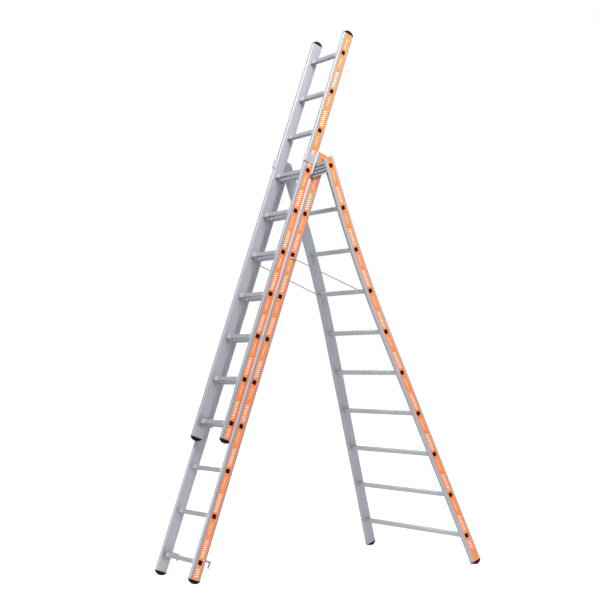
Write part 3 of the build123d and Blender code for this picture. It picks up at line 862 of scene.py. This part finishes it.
def rope_tree():
    """A node tree that lays strands round a straight line."""
    name = "laid_rope"
    if name in bpy.data.node_groups:
        return bpy.data.node_groups[name]
    tree = bpy.data.node_groups.new(name, "GeometryNodeTree")
    input_sockets(tree, "NodeSocketVector", "Start", "End", "Across", "Up")
    input_sockets(tree, "NodeSocketFloat", "Strand radius", "Lay radius", "Lay length")
    input_sockets(tree, "NodeSocketInt", "Strands", "Points", "Sides")
    input_sockets(tree, "NodeSocketMaterial", "Finish")
    tree.interface.new_socket("Rope", in_out="OUTPUT", socket_type="NodeSocketGeometry")
    given = add_node(tree, "NodeGroupInput")
    line = add_node(tree, "GeometryNodeCurvePrimitiveLine")
    even = add_node(tree, "GeometryNodeResampleCurve")
    strands = add_node(tree, "GeometryNodeDuplicateElements", domain="SPLINE")
    along = add_node(tree, "GeometryNodeSplineParameter")
    turns = add_node(tree, "ShaderNodeMath", operation="DIVIDE")
    share = add_node(tree, "ShaderNodeMath", operation="DIVIDE")
    total = add_node(tree, "ShaderNodeMath", operation="ADD")
    angle = add_node(tree, "ShaderNodeMath", operation="MULTIPLY")
    angle.inputs[1].default_value = 2 * math.pi
    cosine = add_node(tree, "ShaderNodeMath", operation="COSINE")
    sine = add_node(tree, "ShaderNodeMath", operation="SINE")
    across = add_node(tree, "ShaderNodeVectorMath", operation="SCALE")
    up = add_node(tree, "ShaderNodeVectorMath", operation="SCALE")
    offset = add_node(tree, "ShaderNodeVectorMath", operation="ADD")
    spread = add_node(tree, "ShaderNodeVectorMath", operation="SCALE")
    moved = add_node(tree, "GeometryNodeSetPosition")
    section = add_node(tree, "GeometryNodeCurvePrimitiveCircle")
    skin = add_node(tree, "GeometryNodeCurveToMesh", {"Fill Caps": True})
    plain = add_node(tree, "GeometryNodeRealizeInstances")
    finish = add_node(tree, "GeometryNodeSetMaterial")
    result = add_node(tree, "NodeGroupOutput")
    link = tree.links.new
    link(given.outputs["Start"], line.inputs["Start"])
    link(given.outputs["End"], line.inputs["End"])
    link(line.outputs["Curve"], even.inputs["Curve"])
    link(given.outputs["Points"], even.inputs["Count"])
    link(even.outputs["Curve"], strands.inputs["Geometry"])
    link(given.outputs["Strands"], strands.inputs["Amount"])
    link(along.outputs["Length"], turns.inputs[0])
    link(given.outputs["Lay length"], turns.inputs[1])
    link(strands.outputs["Duplicate Index"], share.inputs[0])
    link(given.outputs["Strands"], share.inputs[1])
    link(turns.outputs["Value"], total.inputs[0])
    link(share.outputs["Value"], total.inputs[1])
    link(total.outputs["Value"], angle.inputs[0])
    link(angle.outputs["Value"], cosine.inputs[0])
    link(angle.outputs["Value"], sine.inputs[0])
    link(given.outputs["Across"], across.inputs["Vector"])
    link(cosine.outputs["Value"], across.inputs["Scale"])
    link(given.outputs["Up"], up.inputs["Vector"])
    link(sine.outputs["Value"], up.inputs["Scale"])
    link(across.outputs["Vector"], offset.inputs[0])
    link(up.outputs["Vector"], offset.inputs[1])
    link(offset.outputs["Vector"], spread.inputs["Vector"])
    link(given.outputs["Lay radius"], spread.inputs["Scale"])
    link(strands.outputs["Geometry"], moved.inputs["Geometry"])
    link(spread.outputs["Vector"], moved.inputs["Offset"])
    link(given.outputs["Strand radius"], section.inputs["Radius"])
    link(given.outputs["Sides"], section.inputs["Resolution"])
    link(moved.outputs["Geometry"], skin.inputs["Curve"])
    link(section.outputs["Curve"], skin.inputs["Profile Curve"])
    link(skin.outputs["Mesh"], plain.inputs["Geometry"])
    link(plain.outputs["Geometry"], finish.inputs["Geometry"])
    link(given.outputs["Finish"], finish.inputs["Material"])
    link(finish.outputs["Geometry"], result.inputs["Rope"])
    return tree


def stay_ends(side):
    """Where a stay begins on the front leg and ends on the rear leg, in the ladder's frame."""
    low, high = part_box(f"stay_{side}")
    near = min(abs(low[0]), abs(high[0]))
    far = max(abs(low[0]), abs(high[0]))
    radius = sizes().rope_diameter / 2
    way = Vector((far - near - 2 * radius, high[1] - low[1], low[2] - high[2])).normalized()
    trim_y = radius * abs(way.z)
    trim_z = radius * abs(way.y)
    start = Vector((SIDES[side] * (near + radius), low[1] + trim_y, high[2] - trim_z))
    end = Vector((SIDES[side] * (far - radius), high[1] - trim_y, low[2] + trim_z))
    return start, end


def rope_piece(name, start, end, material):
    """A stay of laid strands, pulled straight between its ends."""
    size = sizes()
    line = end - start
    way = line.normalized()
    across = way.orthogonal().normalized()
    strand = size.rope_diameter / 3
    values = {
        "Start": start,
        "End": end,
        "Across": across,
        "Up": way.cross(across),
        "Strand radius": strand / 2,
        "Lay radius": strand,
        "Lay length": size.rope_lay,
        "Strands": size.rope_strands,
        "Points": int(line.length / size.rope_lay * ROPE_POINTS_A_TURN) + 1,
        "Sides": STRAND_SIDES,
        "Finish": material,
    }
    rope = new_piece(name, bpy.data.meshes.new(name))
    modifier = rope.modifiers.new("rope", "NODES")
    modifier.node_group = rope_tree()
    set_inputs(modifier, values)
    made_plain(rope)
    rope.data.polygons.foreach_set("use_smooth", [True] * len(rope.data.polygons))
    return rope


def ferrule_piece(name, end, inward, material, sides=16):
    """A pressed sleeve near one end of a stay, turned round the stay's line."""
    size = sizes()
    across = inward.orthogonal().normalized()
    up = inward.cross(across)
    first = end + inward * FERRULE_FROM_END
    build = bmesh.new()
    rings = []
    for share, width in FERRULE_OUTLINE:
        centre = first + inward * share * size.ferrule_length
        radius = width * size.rope_diameter / 2
        ring = []
        for number in range(sides):
            angle = 2 * math.pi * number / sides
            ring.append(centre + (across * math.cos(angle) + up * math.sin(angle)) * radius)
        rings.append(ring)
    ring_skin(build, rings)
    return new_piece(name, mesh_from(build, name), material)


def shown_white(tree):
    """1 on rays that should meet a white studio, and 0 on rays that light the ladder."""
    path = add_node(tree, "ShaderNodeLightPath")
    seen = add_node(tree, "ShaderNodeMath", operation="MAXIMUM")
    shown = add_node(tree, "ShaderNodeMath", operation="MAXIMUM")
    tree.links.new(path.outputs["Is Camera Ray"], seen.inputs[0])
    tree.links.new(path.outputs["Is Glossy Ray"], seen.inputs[1])
    tree.links.new(seen.outputs["Value"], shown.inputs[0])
    tree.links.new(path.outputs["Is Transmission Ray"], shown.inputs[1])
    return shown.outputs["Value"]


def floor_paint(colour):
    """Pale floor that keeps the ladder's shadow and goes to white further out."""
    material, tree, shader = start_material("studio_floor", colour, metallic=0.0, roughness=0.9)
    shader.inputs["Emission Color"].default_value = (1.0, 1.0, 1.0, 1.0)
    grain = noise(tree, object_place(tree), scale=40.0, detail=2.0)
    tree.links.new(tinted(tree, grain, colour, low=0.995, high=1.005), shader.inputs["Base Color"])
    distance = add_node(tree, "ShaderNodeVectorMath", operation="LENGTH")
    tree.links.new(object_place(tree), distance.inputs[0])
    glow = add_node(tree, "ShaderNodeMapRange", {"From Min": FLOOR_NEAR, "From Max": FLOOR_FAR})
    glow.inputs["To Min"].default_value = FLOOR_NEAR_GLOW
    tree.links.new(distance.outputs["Value"], glow.inputs["Value"])
    bounce = add_node(tree, "ShaderNodeMapRange", {"From Min": 0.0, "From Max": FLOOR_BOUNCE_REACH})
    bounce.inputs["To Min"].default_value = studio().floor_bounce
    bounce.inputs["To Max"].default_value = 0.0
    tree.links.new(distance.outputs["Value"], bounce.inputs["Value"])
    shown = add_node(tree, "ShaderNodeMix")
    tree.links.new(shown_white(tree), shown.inputs["Factor"])
    tree.links.new(bounce.outputs["Result"], shown.inputs["A"])
    tree.links.new(glow.outputs["Result"], shown.inputs["B"])
    tree.links.new(shown.outputs["Result"], shader.inputs["Emission Strength"])
    material.cycles.emission_sampling = "NONE"
    return material


def set_floor():
    """A wide flat floor under the ladder."""
    mesh = bpy.data.meshes.new("studio_floor")
    signs = ((-1, -1), (1, -1), (1, 1), (-1, 1))
    mesh.from_pydata([(x * FLOOR_REACH, y * FLOOR_REACH, 0) for x, y in signs], [], [(0, 1, 2, 3)])
    new_piece("studio_floor", mesh, floor_paint(finishes().floor))


def set_sky():
    """Even light all round, which shows as white."""
    world = bpy.data.worlds.new("studio_sky")
    world.use_nodes = True
    tree = world.node_tree
    sky = tree.nodes["Background"]
    sky.inputs["Color"].default_value = (1.0, 1.0, 1.0, 1.0)
    tree.links.new(ranged(tree, shown_white(tree), studio().sky_light, 1.0), sky.inputs["Strength"])
    bpy.context.scene.world = world


def set_lamps():
    """Soft square lamps aimed at the ladder."""
    for name, (place, aim, width) in LAMPS.items():
        lamp = bpy.data.lights.new(f"{name}_lamp", "AREA")
        lamp.energy = getattr(studio(), f"{name}_light")
        lamp.size = width
        holder = bpy.data.objects.new(f"{name}_lamp", lamp)
        holder.visible_camera = False
        holder.location = place
        holder.rotation_euler = (Vector(aim) - Vector(place)).to_track_quat("-Z", "Y").to_euler()
        bpy.context.scene.collection.objects.link(holder)


def set_camera():
    """The camera of the main view."""
    settings = studio()
    camera = bpy.data.cameras.new("camera")
    camera.sensor_width = CAMERA_SENSOR
    camera.lens = settings.camera_lens
    camera.shift_y = settings.camera_rise
    camera.clip_end = CAMERA_CLIP
    flat = math.cos(settings.camera_pitch)
    heading = settings.camera_heading
    look = Vector((flat * math.cos(heading), flat * math.sin(heading), math.sin(settings.camera_pitch)))
    holder = bpy.data.objects.new("camera", camera)
    holder.location = settings.camera_place
    holder.rotation_euler = look.to_track_quat("-Z", "Y").to_euler()
    bpy.context.scene.collection.objects.link(holder)
    bpy.context.scene.camera = holder


class LADDER_OT_dress_metal(Operator):
    """Gives the stiles, rungs, brackets, hinges, hooks and stay fittings their metal finishes"""

    bl_idname = "ladder.dress_metal"
    bl_label = "Dress metal"

    def execute(self, context):
        colours = finishes()
        front_turn = (front_lean, 0, 0)
        turns = {"front": front_turn, "extension": front_turn, "rear": (-rear_lean, 0, 0)}
        bracket = extruded_metal("bracket_extrusion", colours.bracket, front_turn, "Z")
        casting = cast_metal("hinge_casting", colours.casting)
        zinc = plated_metal("zinc_plate", colours.zinc, metallic=0.45, roughness=0.36)
        bright = plated_metal("bright_zinc", colours.bright_zinc, metallic=0.6, roughness=0.25)
        for section in BODIES:
            stile = extruded_metal(f"{section}_extrusion", colours.aluminium, turns[section], "Z")
            # Painted shade on the outer faces of the front and extension stiles
            if section != "rear":
                shade_base(stile, outer_face_painted_shade(stile.node_tree))
            # Painted highlight on the forward faces of the front stiles
            if section == "front":
                shade_base(stile, forward_painted_highlight(stile.node_tree))
            # The stile face where the front and extension rung collars get their painted highlight; the rear
            # rungs get painted shade on their upper faces
            face = None if section == "rear" else HALF_WIDTHS[section] - STILE_WIDTH
            # The darker rung colour on the front and extension is painted shade
            tone = colours.rear_rung_aluminium if section == "rear" else colours.rung_aluminium
            drawn = rung_metal(f"{section}_drawn_tube", tone, face)
            paint_nodes(stile, *(f"{section}_{side}_stile" for side in SIDES))
            paint_nodes(drawn, *(f"{section}_rung_{number:02d}" for number in RUNG_NUMBERS))
        paint_nodes(bracket, "guide_brackets")
        paint_nodes(casting, "hinge_block_left", "hinge_block_right")
        paint_nodes(zinc, "front_hooks", "front_hook_rivets", "extension_hooks", "extension_hook_rivets")
        paint_nodes(zinc, "guide_rivets", "hinge_pins", "hinge_washers")
        paint_nodes(bright, "stay_eyes", "stay_clamps")
        return {"FINISHED"}


class LADDER_OT_print_labels(Operator):
    """Finishes the label strips and prints plain bars and ticks between the plugs"""

    bl_idname = "ladder.print_labels"
    bl_label = "Print labels"

    def execute(self, context):
        film = label_film("orange_film", finishes().label)
        ink = printed_ink("label_print", finishes().printing)
        for section in BODIES:
            paint_nodes(film, f"{section}_labels")
            self.print_section(section, ink)
        return {"FINISHED"}

    def print_section(self, section, ink):
        """Bars and ticks on both stiles of a section."""
        size = sizes()
        levels = RUNGS[section][1]
        bar_levels = []
        tick_levels = []
        for level in levels[:-1]:
            bar_levels += [level + BARS_ABOVE_RUNG + number * size.bar_step for number in range(BARS)]
            tick_levels += [level + TICKS_ABOVE_RUNG + number * size.tick_step for number in range(TICKS)]
        low = levels[0] - LAST_BARS_BELOW_RUNG
        bar_levels += [low + number * size.bar_step for number in range(LAST_BARS)]
        if section == "extension":
            high = levels[-1] + BARS_ABOVE_RUNG
            tick_levels += [high + number * size.tick_step for number in range(TICKS)]
        bent = section == "rear"
        thick = size.bent_print_thick if bent else size.print_thick
        slant = -size.bar_width if bent else size.bar_width
        bar = bar_mesh(size.bar_length, size.bar_width, slant, thick)
        tick = bar_mesh(size.tick_side, size.tick_side, 0.0, thick)
        face = LABEL_SINK - LABEL_THICK
        for name, mark, marked in (("bars", bar, bar_levels), ("ticks", tick, tick_levels)):
            places = [web_place(section, side, level, face) for side in SIDES for level in marked]
            piece = set_out(f"{section}_label_{name}", mark, places, ink)
            settle(piece, BODIES[section], "orange_film")


class LADDER_OT_plug_rungs(Operator):
    """Sets a dished black plug in each rung end"""

    bl_idname = "ladder.plug_rungs"
    bl_label = "Plug rungs"

    def execute(self, context):
        plastic = black_moulding("plug_plastic", finishes().plastic, 0.42)
        for section, body in BODIES.items():
            levels = RUNGS[section][1]
            places = [web_place(section, side, level, LABEL_SINK) for level in levels for side in SIDES]
            piece = set_out(f"{section}_plug_heads", plug_mesh(), places, plastic)
            settle(piece, body, "black_plastic", f"{section}_rung_plugs")
        return {"FINISHED"}


class LADDER_OT_cap_stiles(Operator):
    """Moulds the treaded rubber feet and end caps"""

    bl_idname = "ladder.cap_stiles"
    bl_label = "Cap stiles"

    def execute(self, context):
        rubber = black_moulding("cap_rubber", finishes().rubber, 0.62)
        feet = cap_piece("front_tread_feet", low_ends("front"), rubber, True)
        settle(feet, BODIES["front"], "black_rubber", "front_feet")
        ends = low_ends("extension") + high_ends("extension")
        caps = cap_piece("extension_tread_caps", ends, rubber, False)
        settle(caps, BODIES["extension"], "black_rubber", "extension_end_caps")
        feet = cap_piece("rear_tread_feet", low_ends("rear"), rubber, True)
        settle(feet, BODIES["rear"], "black_rubber", "rear_feet")
        return {"FINISHED"}


class LADDER_OT_string_stays(Operator):
    """Lays the wire stays between the legs and presses their ferrules"""

    bl_idname = "ladder.string_stays"
    bl_label = "String stays"

    def execute(self, context):
        wire = plated_metal("stay_wire", finishes().wire, metallic=0.4, roughness=0.42)
        sleeve = plated_metal("ferrule_metal", finishes().zinc, metallic=0.5, roughness=0.32)
        for side in SIDES:
            start, end = stay_ends(side)
            way = (end - start).normalized()
            rope = rope_piece(f"stay_rope_{side}", start, end, wire)
            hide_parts(f"stay_{side}")
            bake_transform(rope)
            for section, point, inward in (("front", start, way), ("rear", end, -way)):
                ferrule = ferrule_piece(f"stay_ferrule_{section}_{side}", point, inward, sleeve)
                settle(ferrule, BODIES[section], "zinc_steel")
        return {"FINISHED"}


class LADDER_OT_bolt_hinges(Operator):
    """Sets socket-head bolts in the hinge blocks"""

    bl_idname = "ladder.bolt_hinges"
    bl_label = "Bolt hinges"

    def execute(self, context):
        steel = black_moulding("black_steel", finishes().black_steel, 0.4)
        facing_front = Matrix.Rotation(math.pi / 2, 4, "X")
        places = []
        for sign in SIDES.values():
            for level in BOLT_LEVELS:
                head = Matrix.Translation((sign * BOLT_ACROSS, BOLT_HEAD_Y, level))
                places.append(rear_leg @ head @ facing_front)
        piece = set_out("hinge_socket_bolts", bolt_mesh(), places, steel)
        settle(piece, BODIES["rear"], "black_steel", "hinge_bolts")
        return {"FINISHED"}


class LADDER_OT_set_studio(Operator):
    """Sets the floor, the light and the camera"""

    bl_idname = "ladder.set_studio"
    bl_label = "Set studio"

    def execute(self, context):
        set_floor()
        set_sky()
        set_lamps()
        set_camera()
        context.scene.view_settings.view_transform = "Standard"
        return {"FINISHED"}


STEPS = (
    LADDER_OT_dress_metal,
    LADDER_OT_print_labels,
    LADDER_OT_plug_rungs,
    LADDER_OT_cap_stiles,
    LADDER_OT_string_stays,
    LADDER_OT_bolt_hinges,
    LADDER_OT_set_studio,
)
GROUPS = {"ladder_sizes": LadderSizes, "ladder_finishes": LadderFinishes, "ladder_studio": LadderStudio}


class LADDER_PT_panel(Panel):
    """Lists the steps that dress the ladder, and their settings"""

    bl_label = "Ladder"
    bl_space_type = "VIEW_3D"
    bl_region_type = "UI"
    bl_category = "Ladder"

    def draw(self, context):
        for step in STEPS:
            self.layout.operator(step.bl_idname)
        for settings in (sizes(), finishes(), studio()):
            for name in settings.bl_rna.properties.keys():
                if name not in ("rna_type", "name"):
                    self.layout.prop(settings, name)


def register():
    for name, group in GROUPS.items():
        bpy.utils.register_class(group)
        setattr(bpy.types.Scene, name, PointerProperty(type=group))
    for kind in (*STEPS, LADDER_PT_panel):
        bpy.utils.register_class(kind)


def unregister():
    for kind in (LADDER_PT_panel, *reversed(STEPS)):
        bpy.utils.unregister_class(kind)
    for name, group in GROUPS.items():
        delattr(bpy.types.Scene, name)
        bpy.utils.unregister_class(group)


def main():
    register()
    bpy.ops.ladder.dress_metal()
    bpy.ops.ladder.print_labels()
    bpy.ops.ladder.plug_rungs()
    bpy.ops.ladder.cap_stiles()
    bpy.ops.ladder.string_stays()
    bpy.ops.ladder.bolt_hinges()
    bpy.ops.ladder.set_studio()


if __name__ == "__main__":
    main()
